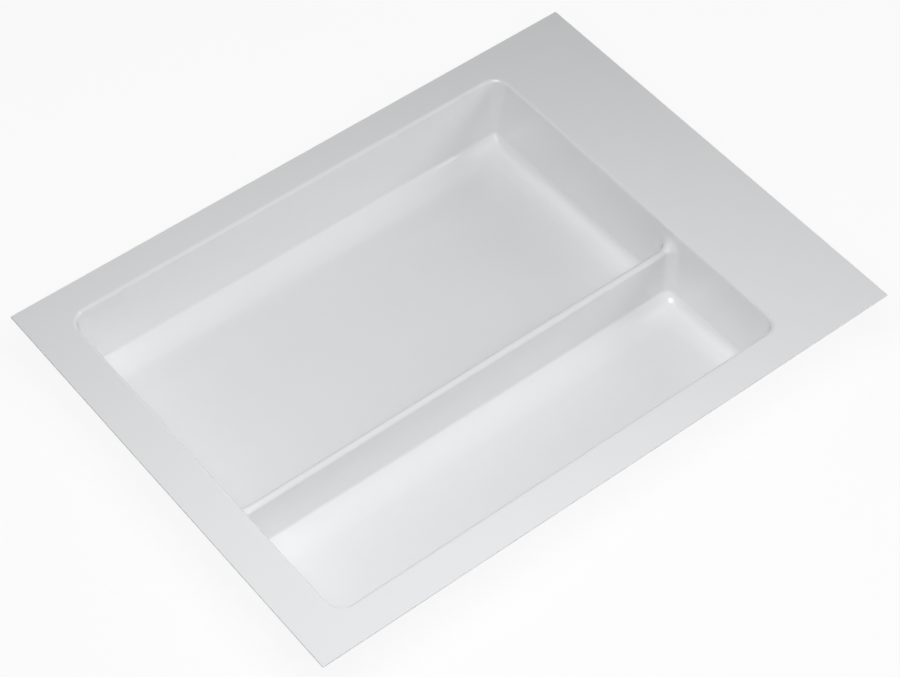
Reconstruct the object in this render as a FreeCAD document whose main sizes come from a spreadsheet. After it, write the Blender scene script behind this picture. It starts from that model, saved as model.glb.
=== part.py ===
# Cutlery tray for a kitchen drawer: one thermoformed plastic sheet with a flat flange that is trimmed
# to the drawer, a large and a small compartment, and a low hollow divider between them.
# Millimetres. +Z is up, the front is -Y, and the origin is under the middle of the flange, on the
# surface that the floors stand on.
import FreeCAD
import Part
import Sketcher
import math
import os

# The driving sizes
SIZES = {
    "tray_width": 360,
    "tray_depth": 490,
    "tray_height": 64,
    "sheet_thickness": 1.5,
    "front_flange": 31,
    "back_flange": 78.5,
    "side_flange": 26.5,
    # Every wall's lean from upright, in degrees
    "draft_angle": 5,
    # The roll of the sheet's upper face over the mouth's edge
    "rim_radius": 3,
    # The mouth's corners in plan, which narrow towards the floor
    "corner_radius": 12.5,
    # The hollow from each floor up to the side walls and the divider, and the tight turn at its top
    "side_cove_radius": 28,
    "side_turn_radius": 4,
    # The same two at the front and back walls
    "end_cove_radius": 18,
    "end_turn_radius": 9,
    # The hollows' lean from upright where the turns take over, in degrees
    "cove_top_lean": 42,
    # From the mouth's right edge to the middle of the divider
    "small_compartment_width": 109.5,
    # From the flange down to the divider's crest
    "divider_drop": 15,
    "divider_crest_radius": 3,
    # The flare where the divider runs into the end walls
    "divider_end_radius": 9.5,
    # How far a cut passes the face that it trims
    "cutting_overlap": 0.005,
}

# Two compartments, each with a cove at both of its side walls and at both of its end walls
COVES_OF_A_KIND = 4

# A length too small to matter, for telling edges apart, and a share of the sheet's volume
HAIR = 0.01
CRUMB = 0.0001

# Places that follow from them, measured from the flange's front left corner and from the table
MOUTH_LEFT = "sizes.side_flange"
MOUTH_RIGHT = "(sizes.tray_width - sizes.side_flange)"
MOUTH_FRONT = "sizes.front_flange"
MOUTH_BACK = "(sizes.tray_depth - sizes.back_flange)"
DIVIDER_X = f"({MOUTH_RIGHT} - sizes.small_compartment_width)"
CREST_CENTRE_Z = "(sizes.tray_height - sizes.divider_drop - sizes.divider_crest_radius)"


def turn_offset(kind, ratio):
    """From the centre of a cove's hollow to the centre of its turn: ratio is cos for across, sin for down."""
    return f"((sizes.{kind}_cove_radius - sizes.{kind}_turn_radius) * {ratio}(sizes.cove_top_lean))"


def cove_reach(kind):
    """From a wall's foot to the centre of the hollow beside it: kind is side or end."""
    return (
        f"(sizes.{kind}_turn_radius / cos(sizes.draft_angle) + {turn_offset(kind, 'cos')}"
        f" - (sizes.{kind}_cove_radius - {turn_offset(kind, 'sin')}) * tan(sizes.draft_angle))"
    )


# How far a wall's foot, and then the hollows' centres beside it, stand in from the mouth's edge
WALL_LEAN = "(sizes.tray_height - sizes.sheet_thickness) * tan(sizes.draft_angle)"
SIDE_INSET = f"({WALL_LEAN} + {cove_reach('side')})"
END_INSET = f"({WALL_LEAN} + {cove_reach('end')})"

# Half of the divider's width at its foot, and from its middle to the centres of the coves beside it
DIVIDER_FOOT = (
    "(sizes.divider_crest_radius / cos(sizes.draft_angle)"
    f" + ({CREST_CENTRE_Z} - sizes.sheet_thickness) * tan(sizes.draft_angle))"
)
DIVIDER_SPREAD = f"({DIVIDER_FOOT} + {cove_reach('side')})"

doc = FreeCAD.newDocument("cutlery_tray")


def make_sheet():
    """The spreadsheet that holds the driving sizes, one row each."""
    sheet = doc.addObject("Spreadsheet::Sheet", "sizes")
    for row, (name, value) in enumerate(SIZES.items(), start=1):
        sheet.set(f"A{row}", name)
        sheet.set(f"B{row}", str(value))
        sheet.setAlias(f"B{row}", name)
    doc.recompute()


def bind(item, expressions):
    """Tie properties of a document object to the sheet."""
    for path, expression in expressions.items():
        item.setExpression(path, expression)


def sketch_on(body, role, name, height="0"):
    """A sketch on an origin plane, with its own origin over the flange's front left corner."""
    plane = next(item for item in body.Origin.OriginFeatures if item.Role == role)
    sketch = body.newObject("Sketcher::SketchObject", name)
    sketch.AttachmentSupport = [(plane, "")]
    sketch.MapMode = "FlatFace"
    half_width = "-sizes.tray_width / 2"
    half_depth = "-sizes.tray_depth / 2"
    if role == "XY_Plane":
        corner = {"x": half_width, "y": half_depth, "z": height}
    elif role == "XZ_Plane":
        corner = {"x": half_width}
    else:
        corner = {"x": half_depth}
    bind(sketch, {f"AttachmentOffset.Base.{axis}": text for axis, text in corner.items()})
    doc.recompute()
    return sketch


def amount(expression):
    """The present value of an expression on the sheet."""
    return float(doc.sizes.evalExpression(expression.replace("sizes.", "")))


def dimension(sketch, expression, kind, *places):
    """A driving length of a sketch, tied to the sheet."""
    index = sketch.addConstraint(Sketcher.Constraint(kind, *places, amount(expression)))
    sketch.setExpression(f"Constraints[{index}]", expression)


def slope(sketch, edge, expression):
    """The direction of a straight edge in degrees from the sketch's first axis, tied to the sheet."""
    index = sketch.addConstraint(Sketcher.Constraint("Angle", edge, math.radians(amount(expression))))
    sketch.setExpression(f"Constraints[{index}]", f"({expression}) * 1 deg")


def line(sketch, start, end):
    """A straight edge between two points of the sketch's plane."""
    return sketch.addGeometry(Part.LineSegment(FreeCAD.Vector(*start), FreeCAD.Vector(*end)))


def arc(sketch, centre, radius, first, last):
    """A round edge, anticlockwise between two directions in degrees."""
    circle = Part.Circle(FreeCAD.Vector(*centre), FreeCAD.Vector(0, 0, 1), radius)
    return sketch.addGeometry(Part.ArcOfCircle(circle, math.radians(first), math.radians(last)))


def step(direction, length):
    """A move in a sketch's plane, by its direction in degrees and its length."""
    angle = math.radians(direction)
    return FreeCAD.Vector(length * math.cos(angle), length * math.sin(angle))


def rectangle(sketch, left, front, right, back, radius=None):
    """A rectangle whose sides, and round corners if it has any, are placed by expressions."""
    x0, x1, y0, y1 = amount(left), amount(right), amount(front), amount(back)
    r = amount(radius) if radius else 0
    sides = [
        line(sketch, (x0 + r, y0), (x1 - r, y0)),
        line(sketch, (x1, y0 + r), (x1, y1 - r)),
        line(sketch, (x1 - r, y1), (x0 + r, y1)),
        line(sketch, (x0, y1 - r), (x0, y0 + r)),
    ]
    centres = [(x1 - r, y0 + r), (x1 - r, y1 - r), (x0 + r, y1 - r), (x0 + r, y0 + r)]
    corners = []
    for i, side in enumerate(sides):
        following = sides[(i + 1) % 4]
        sketch.addConstraint(Sketcher.Constraint("Vertical" if i % 2 else "Horizontal", side))
        if radius:
            corner = arc(sketch, centres[i], r, 90 * i - 90, 90 * i)
            sketch.addConstraint(Sketcher.Constraint("Tangent", side, 2, corner, 1))
            sketch.addConstraint(Sketcher.Constraint("Tangent", corner, 2, following, 1))
            corners.append(corner)
        else:
            sketch.addConstraint(Sketcher.Constraint("Coincident", side, 2, following, 1))
    for corner in corners[1:]:
        sketch.addConstraint(Sketcher.Constraint("Equal", corners[0], corner))
    if radius:
        dimension(sketch, radius, "Radius", corners[0])
    dimension(sketch, right, "DistanceX", -1, 1, sides[1], 1)
    dimension(sketch, back, "DistanceY", -1, 1, sides[2], 1)
    dimension(sketch, f"{right} - {left}", "DistanceX", sides[3], 1, sides[1], 1)
    dimension(sketch, f"{back} - {front}", "DistanceY", sides[0], 1, sides[2], 1)


def cove_cut_radii(kind, skin):
    """The radii of a cove's hollow and of its turn, on the form's face or a skin outside it."""
    return [f"(sizes.{kind}_{part}_radius + {skin} + sizes.cutting_overlap)" for part in ("cove", "turn")]


def cove(sketch, kind, centre_x, skin, side):
    """The sharp foot that a cove cuts off a wall and the floor: side is -1 for a wall on the left."""
    wide_text, tight_text = cove_cut_radii(kind, skin)
    wide, tight = amount(wide_text), amount(tight_text)
    lean = amount("sizes.draft_angle")
    top_lean = amount("sizes.cove_top_lean")
    down = 270
    wallward, meeting = (180 + lean, 180 + top_lean) if side < 0 else (360 - lean, 360 - top_lean)
    centre_z = f"(sizes.sheet_thickness + sizes.{kind}_cove_radius)"
    centre = FreeCAD.Vector(amount(centre_x), amount(centre_z))
    turn_centre = centre + step(meeting, wide - tight)
    on_floor = centre + step(down, wide)
    on_wall = turn_centre + step(wallward, tight)
    fall = on_wall.y - on_floor.y
    foot = on_wall - FreeCAD.Vector(side * fall * math.tan(math.radians(lean)), fall)
    floor_edge = line(sketch, on_floor, foot)
    wall_edge = line(sketch, foot, on_wall)
    hollow = arc(sketch, centre, wide, *sorted([meeting, down]))
    turn = arc(sketch, turn_centre, tight, *sorted([wallward, meeting]))
    upper_end, lower_end = (1, 2) if side < 0 else (2, 1)
    sketch.addConstraint(Sketcher.Constraint("Coincident", floor_edge, 2, wall_edge, 1))
    sketch.addConstraint(Sketcher.Constraint("Tangent", floor_edge, 1, hollow, lower_end))
    sketch.addConstraint(Sketcher.Constraint("Tangent", hollow, upper_end, turn, lower_end))
    sketch.addConstraint(Sketcher.Constraint("Tangent", wall_edge, 2, turn, upper_end))
    sketch.addConstraint(Sketcher.Constraint("Horizontal", floor_edge))
    slope(sketch, wall_edge, f"90 - {side} * sizes.draft_angle")
    left_round, right_round = (turn, hollow) if side < 0 else (hollow, turn)
    dimension(sketch, turn_offset(kind, "cos"), "DistanceX", left_round, 3, right_round, 3)
    dimension(sketch, centre_x, "DistanceX", -1, 1, hollow, 3)
    dimension(sketch, centre_z, "DistanceY", -1, 1, hollow, 3)
    dimension(sketch, wide_text, "Radius", hollow)
    dimension(sketch, tight_text, "Radius", turn)


def divider_slot(sketch, skin):
    """The divider's section: a round crest on two leaning walls, down to the floor."""
    radius_text = f"sizes.divider_crest_radius - {skin}"
    radius = amount(radius_text)
    lean = amount("sizes.draft_angle")
    drop_text = f"{CREST_CENTRE_Z} - sizes.sheet_thickness + {skin} + sizes.cutting_overlap"
    centre = FreeCAD.Vector(amount(DIVIDER_X), amount(CREST_CENTRE_Z))
    crest = arc(sketch, centre, radius, lean, 180 - lean)
    right_top = centre + step(lean, radius)
    fall = amount(drop_text) + right_top.y - centre.y
    right_foot = right_top + FreeCAD.Vector(fall * math.tan(math.radians(lean)), -fall)
    left_top = FreeCAD.Vector(2 * centre.x - right_top.x, right_top.y)
    left_foot = FreeCAD.Vector(2 * centre.x - right_foot.x, right_foot.y)
    right_wall = line(sketch, right_foot, right_top)
    left_wall = line(sketch, left_top, left_foot)
    floor_edge = line(sketch, left_foot, right_foot)
    sketch.addConstraint(Sketcher.Constraint("Tangent", right_wall, 2, crest, 1))
    sketch.addConstraint(Sketcher.Constraint("Tangent", left_wall, 1, crest, 2))
    sketch.addConstraint(Sketcher.Constraint("Coincident", left_wall, 2, floor_edge, 1))
    sketch.addConstraint(Sketcher.Constraint("Coincident", floor_edge, 2, right_wall, 1))
    sketch.addConstraint(Sketcher.Constraint("Horizontal", floor_edge))
    slope(sketch, right_wall, "90 + sizes.draft_angle")
    slope(sketch, left_wall, "-90 - sizes.draft_angle")
    dimension(sketch, DIVIDER_X, "DistanceX", -1, 1, crest, 3)
    dimension(sketch, CREST_CENTRE_Z, "DistanceY", -1, 1, crest, 3)
    dimension(sketch, drop_text, "DistanceY", floor_edge, 1, crest, 3)
    dimension(sketch, radius_text, "Radius", crest)


def cut_through(body, sketch, name):
    """Cut a sketch's profile right through the body, both ways."""
    before = body.Shape.Volume
    pocket = body.newObject("PartDesign::Pocket", name)
    pocket.Profile = sketch
    pocket.Type = "ThroughAll"
    pocket.Midplane = True
    doc.recompute()
    if not body.Shape.Volume < before:
        raise RuntimeError(f"{name} cut nothing")
    return pocket


def round_edges(body, name, radius, wanted):
    """Fillet the edges of the body's last feature that the test picks out."""
    base = body.Tip
    picked = [f"Edge{i}" for i, edge in enumerate(base.Shape.Edges, start=1) if wanted(edge)]
    if not picked:
        raise RuntimeError(f"{name} found no edge")
    fillet = body.newObject("PartDesign::Fillet", name)
    fillet.Base = (base, picked)
    bind(fillet, {"Radius": radius})
    doc.recompute()
    return fillet


def make_form(name, skin):
    """The solid that fills both compartments up to the flange, grown by a skin on every wall."""
    body = doc.addObject("PartDesign::Body", name)
    grow = f"{skin} / cos(sizes.draft_angle)"
    mouth = sketch_on(body, "XY_Plane", f"{name}_mouth", "sizes.tray_height")
    rectangle(
        mouth,
        f"({MOUTH_LEFT} - {grow})",
        f"({MOUTH_FRONT} - {grow})",
        f"({MOUTH_RIGHT} + {grow})",
        f"({MOUTH_BACK} + {grow})",
        f"(sizes.corner_radius + {grow})",
    )
    block = body.newObject("PartDesign::Pad", f"{name}_block")
    block.Profile = mouth
    block.Reversed = True
    bind(block, {
        "Length": f"sizes.tray_height - sizes.sheet_thickness + {skin}",
        "TaperAngle": "-sizes.draft_angle * 1 deg",
    })
    doc.recompute()
    full_height = block.Shape.BoundBox.ZLength

    section = sketch_on(body, "XZ_Plane", f"{name}_divider")
    divider_slot(section, skin)
    cut_through(body, section, f"{name}_divider_slot")

    def on_slot_end(edge):
        return HAIR < edge.BoundBox.ZLength < full_height - HAIR

    end_radius = f"sizes.divider_end_radius + {skin}"
    round_edges(body, f"{name}_divider_ends", end_radius, on_slot_end)

    lengthwise = sketch_on(body, "XZ_Plane", f"{name}_side_feet")
    cove(lengthwise, "side", f"{MOUTH_LEFT} + {SIDE_INSET}", skin, -1)
    cove(lengthwise, "side", f"{DIVIDER_X} - {DIVIDER_SPREAD}", skin, 1)
    cove(lengthwise, "side", f"{DIVIDER_X} + {DIVIDER_SPREAD}", skin, -1)
    cove(lengthwise, "side", f"{MOUTH_RIGHT} - {SIDE_INSET}", skin, 1)
    cut_through(body, lengthwise, f"{name}_side_coves")

    crosswise = sketch_on(body, "YZ_Plane", f"{name}_end_feet")
    cove(crosswise, "end", f"{MOUTH_FRONT} + {END_INSET}", skin, -1)
    cove(crosswise, "end", f"{MOUTH_BACK} - {END_INSET}", skin, 1)
    cut_through(body, crosswise, f"{name}_end_coves")

    rounds = [face.Surface for face in body.Shape.Faces if isinstance(face.Surface, Part.Cylinder)]
    for radius_text in cove_cut_radii("side", skin) + cove_cut_radii("end", skin):
        radius = amount(radius_text)
        if sum(abs(surface.Radius - radius) < HAIR for surface in rounds) < COVES_OF_A_KIND:
            raise RuntimeError(f"{name} lacks a cove")
    return body


def combine(body, name, kind, tool):
    """Join another body to this one, or cut it away."""
    joined = body.newObject("PartDesign::Boolean", name)
    joined.Type = kind
    joined.setObjects([tool])
    doc.recompute()


def make_formed_sheet():
    """The whole tray: a flat sheet drawn down over the forms, with its rim rolled over."""
    outside = make_form("outside_form", "sizes.sheet_thickness")
    inside = make_form("inside_form", "0")
    body = doc.addObject("PartDesign::Body", "formed_sheet")
    outline = sketch_on(body, "XY_Plane", "flange_outline", "sizes.tray_height")
    rectangle(outline, "0", "0", "sizes.tray_width", "sizes.tray_depth")
    flange = body.newObject("PartDesign::Pad", "flange_sheet")
    flange.Profile = outline
    flange.Reversed = True
    bind(flange, {"Length": "sizes.sheet_thickness"})
    doc.recompute()

    top = amount("sizes.tray_height")
    under = top - amount("sizes.sheet_thickness")
    reach_x = amount("sizes.tray_width") / 2
    reach_y = amount("sizes.tray_depth") / 2

    def on_rim(edge, height):
        box = edge.BoundBox
        level = max(abs(box.ZMin - height), abs(box.ZMax - height)) < HAIR
        within_width = max(-box.XMin, box.XMax) < reach_x - HAIR
        within_depth = max(-box.YMin, box.YMax) < reach_y - HAIR
        return level and within_width and within_depth

    combine(body, "drawn_down", "Fuse", outside)
    under_radius = "sizes.rim_radius - sizes.sheet_thickness"
    round_edges(body, "rim_underneath", under_radius, lambda edge: on_rim(edge, under))
    combine(body, "hollowed", "Cut", inside)
    round_edges(body, "rim_roll", "sizes.rim_radius", lambda edge: on_rim(edge, top))
    return body


def region(name, left, right):
    """A block between two widths that takes in the mouth, out to where the rim's roll meets the flange."""
    block = doc.addObject("Part::Box", name)
    front = f"({MOUTH_FRONT} - sizes.rim_radius)"
    back = f"({MOUTH_BACK} + sizes.rim_radius)"
    bind(block, {
        "Length": f"{right} - {left}",
        "Width": f"{back} - {front}",
        "Height": "sizes.tray_height + 2 * sizes.sheet_thickness",
        "Placement.Base.x": f"{left} - sizes.tray_width / 2",
        "Placement.Base.y": f"{front} - sizes.tray_depth / 2",
        "Placement.Base.z": "-sizes.sheet_thickness",
    })
    return block


def share(name, kind, sheet, block):
    """The named stretch of the formed sheet that lies inside a block, or outside it."""
    piece = doc.addObject(kind, name)
    piece.Label = name
    piece.Base = sheet
    piece.Tool = block
    return piece


def make_stretches(sheet):
    """The sheet's four stretches, which meet face to face."""
    left = f"({MOUTH_LEFT} - sizes.rim_radius)"
    right = f"({MOUTH_RIGHT} + sizes.rim_radius)"
    divider_left = f"({DIVIDER_X} - {DIVIDER_SPREAD})"
    divider_right = f"({DIVIDER_X} + {DIVIDER_SPREAD})"
    return [
        share("flange", "Part::Cut", sheet, region("mouth_block", left, right)),
        share("large_compartment", "Part::Common", sheet, region("large_block", left, divider_left)),
        share("divider", "Part::Common", sheet, region("divider_block", divider_left, divider_right)),
        share("small_compartment", "Part::Common", sheet, region("small_block", divider_right, right)),
    ]


def check(stretches):
    """Stop if a feature failed, a stretch isn't one sound solid, or material was lost between them."""
    for item in doc.Objects:
        if {"Invalid", "Error"} & set(item.State):
            raise RuntimeError(f"{item.Label} is {item.State}")
    for piece in stretches:
        if piece.Shape.isNull() or not piece.Shape.isValid() or len(piece.Shape.Solids) != 1:
            raise RuntimeError(f"{piece.Label} isn't one sound solid")
    whole = doc.formed_sheet.Shape.Volume
    total = sum(piece.Shape.Volume for piece in stretches)
    if abs(total - whole) > CRUMB * whole:
        raise RuntimeError(f"the stretches hold {total} of the sheet's {whole} cubic millimetres")


make_sheet()
stretches = make_stretches(make_formed_sheet())
doc.recompute()
check(stretches)
os.makedirs("parts", exist_ok=True)
for piece in stretches:
    piece.Shape.exportStep(f"parts/{piece.Label}.step")
    print(f"{piece.Label}: {piece.Shape.Volume:.0f} cubic millimetres")
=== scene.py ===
import math

import bmesh
import bpy
from bpy.props import FloatProperty, FloatVectorProperty, IntProperty, PointerProperty
from mathutils import Matrix, Vector


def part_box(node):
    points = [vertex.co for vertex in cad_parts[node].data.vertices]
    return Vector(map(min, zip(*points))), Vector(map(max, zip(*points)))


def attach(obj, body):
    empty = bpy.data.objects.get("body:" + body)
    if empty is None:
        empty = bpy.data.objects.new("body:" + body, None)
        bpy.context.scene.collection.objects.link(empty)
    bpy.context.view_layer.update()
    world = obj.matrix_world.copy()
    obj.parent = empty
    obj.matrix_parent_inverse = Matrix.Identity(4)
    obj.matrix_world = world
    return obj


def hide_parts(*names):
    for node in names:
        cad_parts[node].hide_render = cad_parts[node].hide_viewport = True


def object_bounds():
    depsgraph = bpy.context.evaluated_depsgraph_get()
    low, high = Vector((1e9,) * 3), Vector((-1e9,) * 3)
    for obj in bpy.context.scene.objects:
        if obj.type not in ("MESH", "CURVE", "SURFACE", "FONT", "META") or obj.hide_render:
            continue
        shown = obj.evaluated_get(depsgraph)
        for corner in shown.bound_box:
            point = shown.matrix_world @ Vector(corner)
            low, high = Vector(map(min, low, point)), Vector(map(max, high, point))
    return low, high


bl_info = {
    "name": "Cutlery Tray",
    "version": (1, 0, 0),
    "blender": (4, 5, 0),
    "location": "View3D > Sidebar > Tray",
    "description": "Models a thermoformed cutlery tray and its studio",
    "category": "Add Mesh",
}

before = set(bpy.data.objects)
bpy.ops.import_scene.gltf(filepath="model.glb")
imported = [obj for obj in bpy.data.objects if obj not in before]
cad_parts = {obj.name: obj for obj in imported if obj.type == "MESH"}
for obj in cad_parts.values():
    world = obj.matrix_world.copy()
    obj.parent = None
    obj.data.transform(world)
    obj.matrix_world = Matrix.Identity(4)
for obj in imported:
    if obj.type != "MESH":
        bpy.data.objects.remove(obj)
CAD_LOW, CAD_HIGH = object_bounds()
FLANGE_LOW, FLANGE_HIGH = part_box("flange")
DIVIDER_LOW, DIVIDER_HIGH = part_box("divider")
# The compartments' boxes reach out to where the rim's roll meets the flange
ROLL_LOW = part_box("large_compartment")[0]
ROLL_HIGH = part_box("small_compartment")[1]

# A length and an angle too small to see, for telling the sheet's edges and faces apart
HAIR = 0.00002
FLAT = math.radians(0.1)
# Only the trimmed edge of the flange turns as sharply as this
SHARP = math.radians(80)
WHITE = (1, 1, 1, 1)


# The sizes, colours and lights that a user can change


def distance(name, description, default):
    """A length that a user can change, in metres."""
    return FloatProperty(
        name=name, description=description, default=default, min=0, precision=5,
        subtype="DISTANCE", unit="LENGTH",
    )


def angle(name, description, degrees):
    """An angle that a user can change, given here in degrees."""
    return FloatProperty(
        name=name, description=description, default=math.radians(degrees), subtype="ANGLE", unit="ROTATION",
    )


def colour(name, description, red, green, blue):
    """A linear colour that a user can change."""
    return FloatVectorProperty(
        name=name, description=description, default=(red, green, blue), min=0, max=1, subtype="COLOR",
    )


def factor(name, description, default):
    """A share from 0 to 1 that a user can change."""
    return FloatProperty(
        name=name, description=description, default=default, min=0, max=1, precision=3, subtype="FACTOR",
    )


def number(name, description, default):
    """A plain number that a user can change."""
    return FloatProperty(name=name, description=description, default=default, min=0)


def watts(name, description, default):
    """A lamp's power that a user can change."""
    return FloatProperty(
        name=name, description=description, default=default, min=0, subtype="POWER", unit="POWER",
    )


def millimetres(name, description, default):
    """A size inside the camera that a user can change."""
    return FloatProperty(
        name=name, description=description, default=default, min=1, subtype="DISTANCE_CAMERA", unit="CAMERA",
    )


class TraySizes(bpy.types.PropertyGroup):
    """The sheet's own sizes. Its outline, its mouth and its thickness come from the frame."""

    draft: angle("Draft", "Every wall's lean from upright", 5)
    rim_radius: distance("Rim radius", "Roll of the upper face over the mouth's edge", 0.003)
    corner_radius: distance("Corner radius", "The mouth's corners in plan", 0.0125)
    foot_radius: distance("Foot radius", "The same corners where the walls meet the coves", 0.005)
    side_cove: distance("Side cove", "Wide hollow from a floor up to the side walls and divider", 0.028)
    side_turn: distance("Side turn", "Tight turn from that hollow into the wall", 0.004)
    end_cove: distance("End cove", "Wide hollow from each floor up to the front and back walls", 0.018)
    end_turn: distance("End turn", "Turn from that hollow into the wall", 0.009)
    cove_lean: angle("Cove lean", "The hollows' lean from upright where the turns take over", 42)
    mitre_radius: distance("Mitre radius", "Corner in plan where two coves meet", 0.003)
    flare_foot: distance("Flare foot", "The corners at the divider where its walls meet the coves", 0.008)
    flare_mitre: distance("Flare mitre", "The corners at the divider where two coves meet", 0.006)
    divider_drop: distance("Divider drop", "From the flange down to the divider's crest", 0.015)
    crest_radius: distance("Crest radius", "Round top of the divider", 0.003)
    end_radius: distance("Divider end radius", "Flare of the divider into the end walls", 0.0095)
    cut_edge: distance("Cut edge", "Bevel along the trimmed edge of the flange", 0.0005)
    cut_steps: IntProperty(name="Cut steps", description="Faces across that bevel", default=2, min=1)
    round_steps: IntProperty(name="Round steps", description="Faces round each turn", default=10, min=3)


class TrayFinish(bpy.types.PropertyGroup):
    """The gloss white plastic."""

    white: colour("White", "The plastic's colour", 0.853, 0.86, 0.87)
    ior: number("IOR", "The plastic's index of refraction", 1.5)
    haze: factor("Haze", "How far the colour drifts over the sheet", 0.012)
    haze_scale: number("Haze scale", "Clouds of that drift to a metre", 60)
    gloss_roughness: factor("Gloss roughness", "Roughness of the upper face", 0.1)
    under_roughness: factor("Underside roughness", "Roughness of the face that met the mould", 0.36)
    cut_roughness: factor("Cut roughness", "Roughness of the trimmed edge", 0.55)
    cloudy_wear: factor("Cloudy wear", "How far the roughness drifts with the haze", 0.05)
    fine_wear: factor("Fine wear", "How far the roughness changes with the orange peel", 0.04)
    ripple: distance("Ripple", "Height of the sheet's slow waves", 0.00002)
    ripple_scale: number("Ripple scale", "Slow waves to a metre", 9)
    peel: distance("Peel", "Height of the fine orange peel", 0.000002)
    peel_scale: number("Peel scale", "Bumps of the orange peel to a metre", 1400)


class TrayStage(bpy.types.PropertyGroup):
    """The floor, the lights and the camera."""

    floor_white: colour("Floor", "The floor's colour", 0.95, 0.95, 0.95)
    floor_grain: factor("Floor grain", "How far the floor's colour drifts", 0.01)
    floor_scale: number("Floor scale", "Clouds of that drift to a metre", 40)
    floor_reach: distance("Floor reach", "Half of the floor's width", 4)
    glow: factor("Glow", "Share of the floor's white that no shadow dims, beside the tray", 0.9)
    shadow_reach: distance("Shadow reach", "From the tray's middle to where the shadow starts to fade", 0.5)
    room: colour("Room", "Light from all round", 0.02, 0.02, 0.02)
    key_power: watts("Key power", "The wide light beside the camera", 5.1)
    key_width: distance("Key width", "Its level side", 0.6)
    key_height: distance("Key height", "Its other side", 0.35)
    key_azimuth: angle("Key azimuth", "Round from the tray's front", 51.5)
    key_elevation: angle("Key elevation", "Above the floor", 63.5)
    key_distance: distance("Key distance", "From the middle of the tray", 0.86)
    back_power: watts("Back power", "The low light behind the right side", 3.8)
    back_width: distance("Back width", "Its level side", 0.5)
    back_height: distance("Back height", "Its other side", 0.5)
    back_azimuth: angle("Back azimuth", "Round from the tray's front", 142)
    back_elevation: angle("Back elevation", "Above the floor", 25)
    back_distance: distance("Back distance", "From the middle of the tray", 1.3)
    fill_power: watts("Fill power", "The broad light on the left", 2.7)
    fill_width: distance("Fill width", "Its level side", 1.2)
    fill_height: distance("Fill height", "Its other side", 1)
    fill_azimuth: angle("Fill azimuth", "Round from the tray's front", 300)
    fill_elevation: angle("Fill elevation", "Above the floor", 40)
    fill_distance: distance("Fill distance", "From the middle of the tray", 1.5)
    edge_power: watts("Edge power", "The weak low light behind the left side", 1.5)
    edge_width: distance("Edge width", "Its level side", 1)
    edge_height: distance("Edge height", "Its other side", 0.4)
    edge_azimuth: angle("Edge azimuth", "Round from the tray's front", 225)
    edge_elevation: angle("Edge elevation", "Above the floor", 12)
    edge_distance: distance("Edge distance", "From the middle of the tray", 1.4)
    camera_aim: FloatVectorProperty(
        name="Camera aim", description="Point in the middle of the picture",
        default=(0.0226, -0.0190, CAD_HIGH.z), precision=4, subtype="XYZ", unit="LENGTH",
    )
    camera_azimuth: angle("Camera azimuth", "Round from the tray's front", 51.084)
    camera_elevation: angle("Camera elevation", "Above the floor", 50.772)
    camera_distance: distance("Camera distance", "From the point it aims at", 1.7902)
    camera_roll: angle("Camera roll", "Turn about its own line of sight", 0.562)
    lens: millimetres("Lens", "Focal length", 104.49)
    sensor: millimetres("Sensor", "Width of the camera's sensor", 36)


# Tools for modelling in edit mode


def pick(kind, wanted):
    """Select what passes a test in edit mode: kind is VERT, EDGE or FACE."""
    bpy.ops.mesh.select_mode(type=kind)
    bpy.ops.mesh.select_all(action="DESELECT")
    data = bpy.context.edit_object.data
    mesh = bmesh.from_edit_mesh(data)
    items = {"VERT": mesh.verts, "EDGE": mesh.edges, "FACE": mesh.faces}[kind]
    picked = [item for item in items if wanted(item)]
    if not picked:
        raise RuntimeError(f"the sheet has no such {kind.lower()}")
    for item in picked:
        item.select_set(True)
    mesh.select_flush_mode()
    bmesh.update_edit_mesh(data)


def level(item, height):
    """Whether an edge or a face lies flat at a height."""
    return all(abs(vert.co.z - height) < HAIR for vert in item.verts)


def middle(item):
    """The mean of an edge's or a face's corners."""
    return sum((vert.co for vert in item.verts), Vector()) / len(item.verts)


def add_plate(low, high, height):
    """A rectangular face between two corners in plan, added to the mesh being edited and selected."""
    bpy.ops.mesh.select_all(action="DESELECT")
    bpy.ops.mesh.primitive_plane_add(size=1)
    bpy.ops.transform.resize(value=(high.x - low.x, high.y - low.y, 1))
    centre = (low + high) / 2
    bpy.ops.transform.translate(value=(centre.x, centre.y, height))


def round_picked(kind, reach, steps):
    """Round what is picked over a reach to each side of it: kind is VERTICES or EDGES."""
    bpy.ops.mesh.bevel(
        affect=kind, offset_type="OFFSET", offset=reach, segments=steps, profile=0.5, clamp_overlap=False,
    )


def merge_all():
    """Join the corners that lie in one place."""
    bpy.ops.mesh.select_all(action="SELECT")
    bpy.ops.mesh.remove_doubles(threshold=HAIR)


def draw_down(inward, downward):
    """Move the picked faces in and down, with a wall round each."""
    bpy.ops.mesh.inset(
        thickness=inward, depth=-downward, use_even_offset=True, use_boundary=True, use_individual=True,
    )


# The formed sheet


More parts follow.
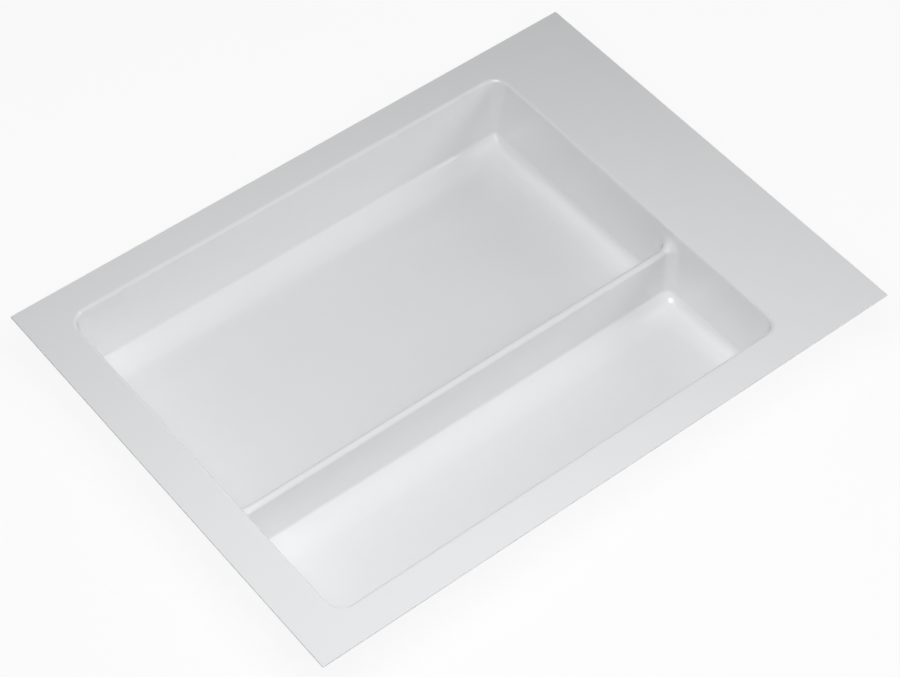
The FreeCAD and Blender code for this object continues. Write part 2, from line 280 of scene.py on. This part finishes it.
class Cove:
    """A cove's section: a tight turn out of a leaning wall, then a wide hollow down to the floor."""

    def __init__(self, hollow, turn, top_lean, draft):
        self.hollow = hollow
        self.turn = turn
        self.top_lean = top_lean
        self.draft = draft
        # Rises over the floor, and reaches from the wall's foot
        across = (hollow - turn) * math.cos(top_lean)
        self.turn_rise = hollow - (hollow - turn) * math.sin(top_lean)
        self.meeting = hollow * (1 - math.sin(top_lean))
        self.wall_end = self.turn_rise - turn * math.sin(draft)
        self.turn_reach = turn / math.cos(draft) - self.turn_rise * math.tan(draft)
        self.hollow_reach = self.turn_reach + across

    def rises(self, steps):
        """Heights over the floor that follow the curve down from the wall, the same number on each round."""
        for radius, centre, first, last in (
            (self.turn, self.turn_rise, self.draft, self.top_lean),
            (self.hollow, self.hollow, self.top_lean, math.pi / 2),
        ):
            for step in range(1, steps + 1):
                yield centre - radius * math.sin(first + (last - first) * step / steps)

    def overhang(self, rise):
        """How far the cove stands in from its wall's own line at a rise over the floor."""
        if rise > self.wall_end:
            return 0
        if rise > self.meeting:
            face = self.turn_reach - math.sqrt(self.turn ** 2 - (self.turn_rise - rise) ** 2)
        else:
            face = self.hollow_reach - math.sqrt(self.hollow ** 2 - (self.hollow - rise) ** 2)
        return face + rise * math.tan(self.draft)


class SheetPlan:
    """Where the sheet's features lie, from the frame and the user's sizes."""

    def __init__(self, sizes):
        self.sizes = sizes
        self.top = FLANGE_HIGH.z
        self.thickness = FLANGE_HIGH.z - FLANGE_LOW.z
        self.lean = math.tan(sizes.draft)
        # From a sharp corner between two faces to where a round of radius 1 touches them
        self.touch = math.tan(math.pi / 4 - sizes.draft / 2)
        rim = Vector((sizes.rim_radius, sizes.rim_radius))
        self.mouth_low = ROLL_LOW.xy + rim
        self.mouth_high = ROLL_HIGH.xy - rim
        self.divider_x = (DIVIDER_LOW.x + DIVIDER_HIGH.x) / 2
        self.crest = self.top - sizes.divider_drop
        self.crest_half = sizes.crest_radius * self.touch
        self.floor = CAD_LOW.z + self.thickness
        self.side_cove = Cove(sizes.side_cove, sizes.side_turn, sizes.cove_lean, sizes.draft)
        self.end_cove = Cove(sizes.end_cove, sizes.end_turn, sizes.cove_lean, sizes.draft)
        self.cove_top = self.floor + max(self.side_cove.wall_end, self.end_cove.wall_end)

    def wall_inset(self, height):
        """How far the outer walls stand in from the mouth at a height."""
        return (self.top - height) * self.lean

    def divider_half(self, height):
        """Half of the divider's width between its walls at a height below its crest."""
        return self.crest_half + (self.crest - height) * self.lean

    def pans(self, height):
        """Both compartments' corners in plan at a height, the large one's first."""
        inset = Vector((self.wall_inset(height), self.wall_inset(height)))
        half = self.divider_half(height)
        low, high = self.mouth_low + inset, self.mouth_high - inset
        return [
            (low, Vector((self.divider_x - half, high.y))),
            (Vector((self.divider_x + half, low.y)), high),
        ]

    def end_of(self, point):
        """Which end wall a point lies on, if it does."""
        inset = self.wall_inset(point.z)
        ends = {"front": self.mouth_low.y + inset, "back": self.mouth_high.y - inset}
        return next((name for name, y in ends.items() if abs(point.y - y) < HAIR), None)


def add_flange(plan):
    """The flange, cut open round the mouth, and a plate in the opening for the walls to be drawn from."""
    sizes = plan.sizes
    tangent = sizes.rim_radius * plan.touch
    radius = sizes.corner_radius + tangent
    low = plan.mouth_low - Vector((tangent, tangent))
    high = plan.mouth_high + Vector((tangent, tangent))

    def in_opening(item):
        place = middle(item)
        return all(low[axis] - HAIR < place[axis] < high[axis] + HAIR for axis in (0, 1))

    add_plate(FLANGE_LOW.xy, FLANGE_HIGH.xy, plan.top)
    for axis, across in enumerate(((1, 0, 0), (0, 1, 0))):
        for cut in (low[axis], low[axis] + radius, high[axis] - radius, high[axis]):
            bpy.ops.mesh.select_all(action="SELECT")
            bpy.ops.mesh.bisect(plane_co=cut * Vector(across), plane_no=across)
    pick("FACE", in_opening)
    bpy.ops.mesh.delete(type="FACE")
    add_plate(low, high, plan.top)
    round_picked("VERTICES", radius, sizes.round_steps)
    merge_all()
    # The flange is filled out to the opening's round corners
    for corner in (low, high, Vector((low.x, high.y)), Vector((high.x, low.y))):
        pick("EDGE", lambda edge: edge.is_boundary and (middle(edge).xy - corner).length < radius)
        bpy.ops.mesh.edge_face_add()


def roll_rim(plan):
    """Roll the mouth's edge over, and give back the height where the walls begin."""
    sizes = plan.sizes
    steps = sizes.round_steps
    height = plan.top
    quarter = math.pi / 2 - sizes.draft
    for step in range(steps):
        before = quarter * step / steps
        after = quarter * (step + 1) / steps
        inward = sizes.rim_radius * (math.sin(after) - math.sin(before))
        downward = sizes.rim_radius * (math.cos(before) - math.cos(after))
        # The plate has more corners than any face of the flange
        pick("FACE", lambda face: level(face, height) and len(face.verts) > 2 * steps)
        draw_down(inward, downward)
        height -= downward
    return height


def draw_compartments(plan, rim_foot):
    """The walls from the rim's foot down to the coves, with the divider's plain ridge between."""
    pick("FACE", lambda face: level(face, rim_foot))
    draw_down((rim_foot - plan.crest) * plan.lean, rim_foot - plan.crest)
    for side in (-1, 1):
        pick("FACE", lambda face: level(face, plan.crest))
        bpy.ops.mesh.bisect(plane_co=(plan.divider_x + side * plan.crest_half, 0, 0), plane_no=(1, 0, 0))
    pick(
        "FACE",
        lambda face: level(face, plan.crest) and abs(middle(face).x - plan.divider_x) > plan.crest_half,
    )
    depth = plan.crest - plan.cove_top
    draw_down(depth * plan.lean, depth)

    def seam(edge):
        flat = len(edge.link_faces) == 2 and edge.calc_face_angle() < FLAT
        return flat and level(edge, plan.crest)

    pick("EDGE", seam)
    bpy.ops.mesh.dissolve_edges(use_verts=True)


def round_divider(plan):
    """The divider's round crest, and the flares that sweep it up into the end walls."""
    sizes = plan.sizes

    def on_crest(edge):
        along = abs(edge.verts[0].co.x - edge.verts[1].co.x) < HAIR
        beside = abs(abs(middle(edge).x - plan.divider_x) - plan.crest_half) < HAIR
        return along and beside and level(edge, plan.crest)

    pick("EDGE", on_crest)
    round_picked("EDGES", plan.crest_half, sizes.round_steps)
    merge_all()

    def at_divider_end(edge):
        reach = plan.divider_half(plan.cove_top) + HAIR
        beside = all(abs(vert.co.x - plan.divider_x) < reach for vert in edge.verts)
        first, second = (plan.end_of(vert.co) for vert in edge.verts)
        return beside and first and first == second and not level(edge, plan.cove_top)

    pick("EDGE", at_divider_end)
    round_picked("EDGES", sizes.end_radius * plan.touch, sizes.round_steps)


def narrow_corners(plan):
    """Shrink the corners' rounds towards the coves, each about its own sharp corner."""
    sizes = plan.sizes
    for low, high in plan.pans(plan.cove_top):
        for x in (low.x, high.x):
            at_divider = abs(x - plan.divider_x) < plan.divider_half(plan.cove_top) + HAIR
            if at_divider:
                radius = sizes.end_radius * plan.touch
                foot = sizes.flare_foot
            else:
                radius = sizes.corner_radius - plan.wall_inset(plan.cove_top)
                foot = sizes.foot_radius
            for y in (low.y, high.y):
                scale_corner(Vector((x, y, plan.cove_top)), radius, foot / radius)


def scale_corner(corner, radius, scale):
    """Scale a corner's round about its sharp corner."""
    reach = radius + HAIR

    def in_corner(vert):
        away = vert.co - corner
        return abs(away.x) < reach and abs(away.y) < reach and abs(away.z) < HAIR

    pick("VERT", in_corner)
    bpy.ops.transform.resize(value=(scale, scale, 1), center_override=corner)


def add_coves_and_floors(plan):
    """The coves round both compartments, ring by ring down to the floors."""
    sizes = plan.sizes
    pick("FACE", lambda face: level(face, plan.cove_top))
    bpy.ops.mesh.delete(type="ONLY_FACE")
    above = plan.cove_top
    for rise in plan.side_cove.rises(sizes.round_steps):
        height = plan.floor + rise
        inset = Vector((plan.side_cove.overhang(rise), plan.end_cove.overhang(rise)))
        outer = max(sizes.foot_radius - min(inset), sizes.mitre_radius)
        flare = max(sizes.flare_foot - min(inset), sizes.flare_mitre)
        large, small = plan.pans(height)
        for (low, high), radii in ((large, (outer, flare)), (small, (flare, outer))):
            add_ring(low + inset, high - inset, height, radii, sizes.round_steps)
        for low, high in plan.pans(above):
            bridge_rings(low.x, high.x, height, above)
        above = height
    for low, high in plan.pans(plan.floor):
        fill_floor(low.x, high.x, plan.floor)


def add_ring(low, high, height, radii, steps):
    """A ring of edges between two corners in plan, with its left corners' radius and its right ones'."""
    add_plate(low, high, height)
    for x, radius in zip((low.x, high.x), radii):
        pick("VERT", lambda vert: (vert.co.xz - Vector((x, height))).length < HAIR)
        round_picked("VERTICES", radius, steps)
    pick("FACE", lambda face: level(face, height))
    bpy.ops.mesh.delete(type="ONLY_FACE")


def within(item, low_x, high_x):
    """Whether an edge lies between two places across the tray."""
    return low_x - HAIR < middle(item).x < high_x + HAIR


def bridge_rings(low_x, high_x, lower, upper):
    """Join one compartment's rings at two heights with faces."""
    pick("EDGE", lambda edge: within(edge, low_x, high_x) and (level(edge, lower) or level(edge, upper)))
    bpy.ops.mesh.bridge_edge_loops()


def fill_floor(low_x, high_x, height):
    """Close one compartment's lowest ring with a flat face."""
    pick("EDGE", lambda edge: within(edge, low_x, high_x) and level(edge, height))
    bpy.ops.mesh.edge_face_add()


def apply_modifier(piece, kind, **settings):
    """Add a modifier to a piece and apply it."""
    modifier = piece.modifiers.new(kind.title(), kind)
    for name, value in settings.items():
        setattr(modifier, name, value)
    bpy.ops.object.modifier_apply(modifier=modifier.name)


class TRAY_OT_formed_sheet(bpy.types.Operator):
    """Model the tray: one sheet drawn down into two compartments"""

    bl_idname = "tray.formed_sheet"
    bl_label = "Formed Sheet"

    def execute(self, context):
        sizes = context.scene.tray_sizes
        plan = SheetPlan(sizes)
        bpy.ops.object.select_all(action="DESELECT")
        bpy.ops.mesh.primitive_plane_add(size=1)
        piece = context.active_object
        piece.name = "formed_sheet"
        bpy.ops.object.mode_set(mode="EDIT")
        bpy.ops.mesh.delete(type="VERT")
        add_flange(plan)
        draw_compartments(plan, roll_rim(plan))
        round_divider(plan)
        narrow_corners(plan)
        add_coves_and_floors(plan)
        merge_all()
        bpy.ops.mesh.normals_make_consistent(inside=False)
        bpy.ops.object.mode_set(mode="OBJECT")
        floor = max(piece.data.polygons, key=lambda face: face.area)
        if floor.normal.z < 0:
            piece.data.flip_normals()
        apply_modifier(
            piece, "SOLIDIFY", thickness=plan.thickness, offset=-1, use_even_offset=True,
            use_quality_normals=True,
        )
        apply_modifier(
            piece, "BEVEL", width=sizes.cut_edge, segments=sizes.cut_steps, limit_method="ANGLE",
            angle_limit=SHARP,
        )
        bpy.ops.object.shade_smooth()
        apply_modifier(piece, "WEIGHTED_NORMAL", keep_sharp=False)
        piece.data.materials.append(gloss_white_plastic(context.scene.tray_finish, plan))
        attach(piece, "root")
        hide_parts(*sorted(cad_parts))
        return {"FINISHED"}


# Materials


class Socket:
    """A value in a material's nodes, on which Python's own operators add Math nodes."""

    def __init__(self, nodes, output):
        self.nodes = nodes
        self.output = output

    def math(self, operation, *others):
        """A Math node on this value and any others."""
        inputs = dict(enumerate((self, *others)))
        return self.nodes.add("ShaderNodeMath", {"operation": operation}, inputs)

    def __add__(self, other):
        return self.math("ADD", other)

    def __radd__(self, other):
        return self.math("ADD", other)

    def __sub__(self, other):
        return self.math("SUBTRACT", other)

    def __rsub__(self, other):
        return self.nodes.add("ShaderNodeMath", {"operation": "SUBTRACT"}, {0: other, 1: self})

    def __mul__(self, other):
        return self.math("MULTIPLY", other)

    def __rmul__(self, other):
        return self.math("MULTIPLY", other)

    def __gt__(self, other):
        return self.math("GREATER_THAN", other)

    def __lt__(self, other):
        return self.math("LESS_THAN", other)


class Nodes:
    """A material's or a world's node tree, emptied and ready to fill."""

    def __init__(self, owner):
        owner.use_nodes = True
        self.tree = owner.node_tree
        self.tree.nodes.clear()

    def add(self, kind, settings=None, inputs=None, output=0):
        """Add a node, make its settings, then fill its sockets with values or links."""
        node = self.tree.nodes.new(kind)
        for name, value in (settings or {}).items():
            setattr(node, name, value)
        for key, value in (inputs or {}).items():
            if isinstance(value, Socket):
                self.tree.links.new(value.output, node.inputs[key])
            else:
                node.inputs[key].default_value = value
        return Socket(self, node.outputs[output]) if node.outputs else None

    def along(self, place, axis):
        """One coordinate of a place or a direction."""
        return self.add("ShaderNodeSeparateXYZ", {}, {0: place}, output=axis)

    def noise(self, place, scale, detail):
        """Cloudy noise about 0, so many clouds to a metre."""
        # The texture itself runs about a half
        inputs = {"Vector": place, "Scale": scale, "Detail": detail}
        return self.add("ShaderNodeTexNoise", {}, inputs, output="Fac") - 0.5

    def tinted(self, base, scale):
        """A base colour made lighter or darker."""
        inputs = {0: tuple(base), "Scale": scale}
        return self.add("ShaderNodeVectorMath", {"operation": "SCALE"}, inputs)


def gloss_white_plastic(finish, plan):
    """Drawn sheet plastic: glossy above, duller where it met the mould, matt along the trimmed edge."""
    material = bpy.data.materials.new("gloss_white_plastic")
    nodes = Nodes(material)
    place = nodes.add("ShaderNodeTexCoord", output="Object")

    waves = nodes.noise(place, finish.ripple_scale, detail=1)
    cloud = nodes.noise(place, finish.haze_scale, detail=3)
    grain = nodes.noise(place, finish.peel_scale, detail=2)
    facing = nodes.add("ShaderNodeNewGeometry", output="Normal")
    # The draft turns the outer faces of the walls a little down, and the inner ones up
    underside = nodes.along(facing, "Z") < -math.sin(plan.sizes.draft) / 2
    half_width = FLANGE_HIGH.x - plan.sizes.cut_edge
    half_depth = FLANGE_HIGH.y - plan.sizes.cut_edge
    at_side = nodes.along(place, "X").math("ABSOLUTE") > half_width
    at_end = nodes.along(place, "Y").math("ABSOLUTE") > half_depth
    trimmed = at_side.math("MAXIMUM", at_end)

    white = nodes.tinted(finish.white, 1 + finish.haze * cloud)
    wear = finish.cloudy_wear * cloud + finish.fine_wear * grain
    above = finish.gloss_roughness + wear
    below = finish.under_roughness + 2 * wear
    face = above * (1 - underside) + below * underside
    roughness = face * (1 - trimmed) + finish.cut_roughness * trimmed
    relief = finish.ripple * waves + finish.peel * grain
    bump = nodes.add("ShaderNodeBump", {}, {"Strength": 1.0, "Distance": 1.0, "Height": relief})
    shader = nodes.add(
        "ShaderNodeBsdfPrincipled", {},
        {"Base Color": white, "Roughness": roughness, "IOR": finish.ior, "Normal": bump},
    )
    nodes.add("ShaderNodeOutputMaterial", {}, {"Surface": shader})
    return material


def seen(nodes):
    """1 to the eye and in reflections, and 0 for the light that falls on things."""
    kinds = ("Is Camera Ray", "Is Glossy Ray", "Is Transmission Ray")
    camera, glossy, through = (nodes.add("ShaderNodeLightPath", output=kind) for kind in kinds)
    return camera.math("MAXIMUM", glossy).math("MAXIMUM", through)


def pale_floor(stage):
    """A floor that shows white to the eye, and keeps part of the shadow beside the tray."""
    material = bpy.data.materials.new("pale_floor")
    nodes = Nodes(material)
    place = nodes.add("ShaderNodeTexCoord", output="Object")
    grain = nodes.noise(place, stage.floor_scale, detail=3)
    white = nodes.tinted(stage.floor_white, 1 + stage.floor_grain * grain)
    matt = nodes.add("ShaderNodeBsdfDiffuse", {}, {"Color": white})
    glow = nodes.add("ShaderNodeEmission", {}, {"Color": WHITE, "Strength": 1.0})
    away = nodes.add("ShaderNodeVectorMath", {"operation": "LENGTH"}, {0: place}, output="Value")
    fade = (away * (1 / stage.shadow_reach) - 1).math("MAXIMUM", 0).math("MINIMUM", 1)
    unshaded = stage.glow + (1 - stage.glow) * fade
    mixed = nodes.add("ShaderNodeMixShader", {}, {0: seen(nodes) * unshaded, 1: matt, 2: glow})
    nodes.add("ShaderNodeOutputMaterial", {}, {"Surface": mixed})
    return material


# The stage


def light_room(stage):
    """A world that lights evenly and shows white to the eye."""
    world = bpy.data.worlds.new("room")
    nodes = Nodes(world)
    soft = nodes.add("ShaderNodeBackground", {}, {"Color": (*stage.room, 1), "Strength": 1.0})
    white = nodes.add("ShaderNodeBackground", {}, {"Color": WHITE, "Strength": 1.0})
    mixed = nodes.add("ShaderNodeMixShader", {}, {0: seen(nodes), 1: soft, 2: white})
    nodes.add("ShaderNodeOutputWorld", {}, {"Surface": mixed})
    bpy.context.scene.world = world


def direction(azimuth, elevation):
    """The way to something round from the tray's front and above the floor."""
    flat = math.cos(elevation)
    return Vector((math.sin(azimuth) * flat, -math.cos(azimuth) * flat, math.sin(elevation)))


def look(piece, place, aim, roll=0):
    """Set a lamp or a camera at a place, pointing at another."""
    turn = (aim - place).to_track_quat("-Z", "Y").to_matrix() @ Matrix.Rotation(roll, 3, "Z")
    piece.matrix_world = Matrix.Translation(place) @ turn.to_4x4()


def add_lamp(stage, name):
    """One of the stage's soft lights, turned to the middle of the tray."""
    aim = (CAD_LOW + CAD_HIGH) / 2
    azimuth = getattr(stage, f"{name}_azimuth")
    elevation = getattr(stage, f"{name}_elevation")
    bpy.ops.object.light_add(type="AREA")
    lamp = bpy.context.active_object
    lamp.name = f"{name}_light"
    lamp.data.shape = "RECTANGLE"
    lamp.data.size = getattr(stage, f"{name}_width")
    lamp.data.size_y = getattr(stage, f"{name}_height")
    lamp.data.energy = getattr(stage, f"{name}_power")
    look(lamp, aim + getattr(stage, f"{name}_distance") * direction(azimuth, elevation), aim)


class TRAY_OT_stage(bpy.types.Operator):
    """Lay the floor, light it and set the camera"""

    bl_idname = "tray.stage"
    bl_label = "Stage"

    def execute(self, context):
        stage = context.scene.tray_stage
        bpy.ops.object.select_all(action="DESELECT")
        bpy.ops.mesh.primitive_plane_add(size=1)
        floor = context.active_object
        floor.name = "floor"
        bpy.ops.object.mode_set(mode="EDIT")
        bpy.ops.transform.resize(value=(2 * stage.floor_reach, 2 * stage.floor_reach, 1))
        bpy.ops.transform.translate(value=(0, 0, CAD_LOW.z - HAIR))
        bpy.ops.object.mode_set(mode="OBJECT")
        floor.data.materials.append(pale_floor(stage))
        light_room(stage)

        for name in ("key", "back", "fill", "edge"):
            add_lamp(stage, name)

        aim = Vector(stage.camera_aim)
        bpy.ops.object.camera_add()
        camera = context.active_object
        camera.name = "camera"
        camera.data.sensor_width = stage.sensor
        camera.data.lens = stage.lens
        view = direction(stage.camera_azimuth, stage.camera_elevation)
        look(camera, aim + stage.camera_distance * view, aim, stage.camera_roll)
        context.scene.camera = camera
        context.scene.view_settings.view_transform = "Standard"
        return {"FINISHED"}


# The add-on


class TRAY_PT_sidebar(bpy.types.Panel):
    """The tray's pieces and sizes"""

    bl_idname = "TRAY_PT_sidebar"
    bl_label = "Cutlery Tray"
    bl_space_type = "VIEW_3D"
    bl_region_type = "UI"
    bl_category = "Tray"

    def draw(self, context):
        for operator in (TRAY_OT_formed_sheet, TRAY_OT_stage):
            self.layout.operator(operator.bl_idname)
        for group in (context.scene.tray_sizes, context.scene.tray_finish, context.scene.tray_stage):
            box = self.layout.box()
            for name in group.bl_rna.properties.keys():
                if name not in ("rna_type", "name"):
                    box.prop(group, name)


CLASSES = (TraySizes, TrayFinish, TrayStage, TRAY_OT_formed_sheet, TRAY_OT_stage, TRAY_PT_sidebar)


def register():
    for item in CLASSES:
        bpy.utils.register_class(item)
    bpy.types.Scene.tray_sizes = PointerProperty(type=TraySizes)
    bpy.types.Scene.tray_finish = PointerProperty(type=TrayFinish)
    bpy.types.Scene.tray_stage = PointerProperty(type=TrayStage)


def unregister():
    del bpy.types.Scene.tray_stage
    del bpy.types.Scene.tray_finish
    del bpy.types.Scene.tray_sizes
    for item in reversed(CLASSES):
        bpy.utils.unregister_class(item)


def main():
    register()
    bpy.ops.tray.formed_sheet()
    bpy.ops.tray.stage()


if __name__ == "__main__":
    main()
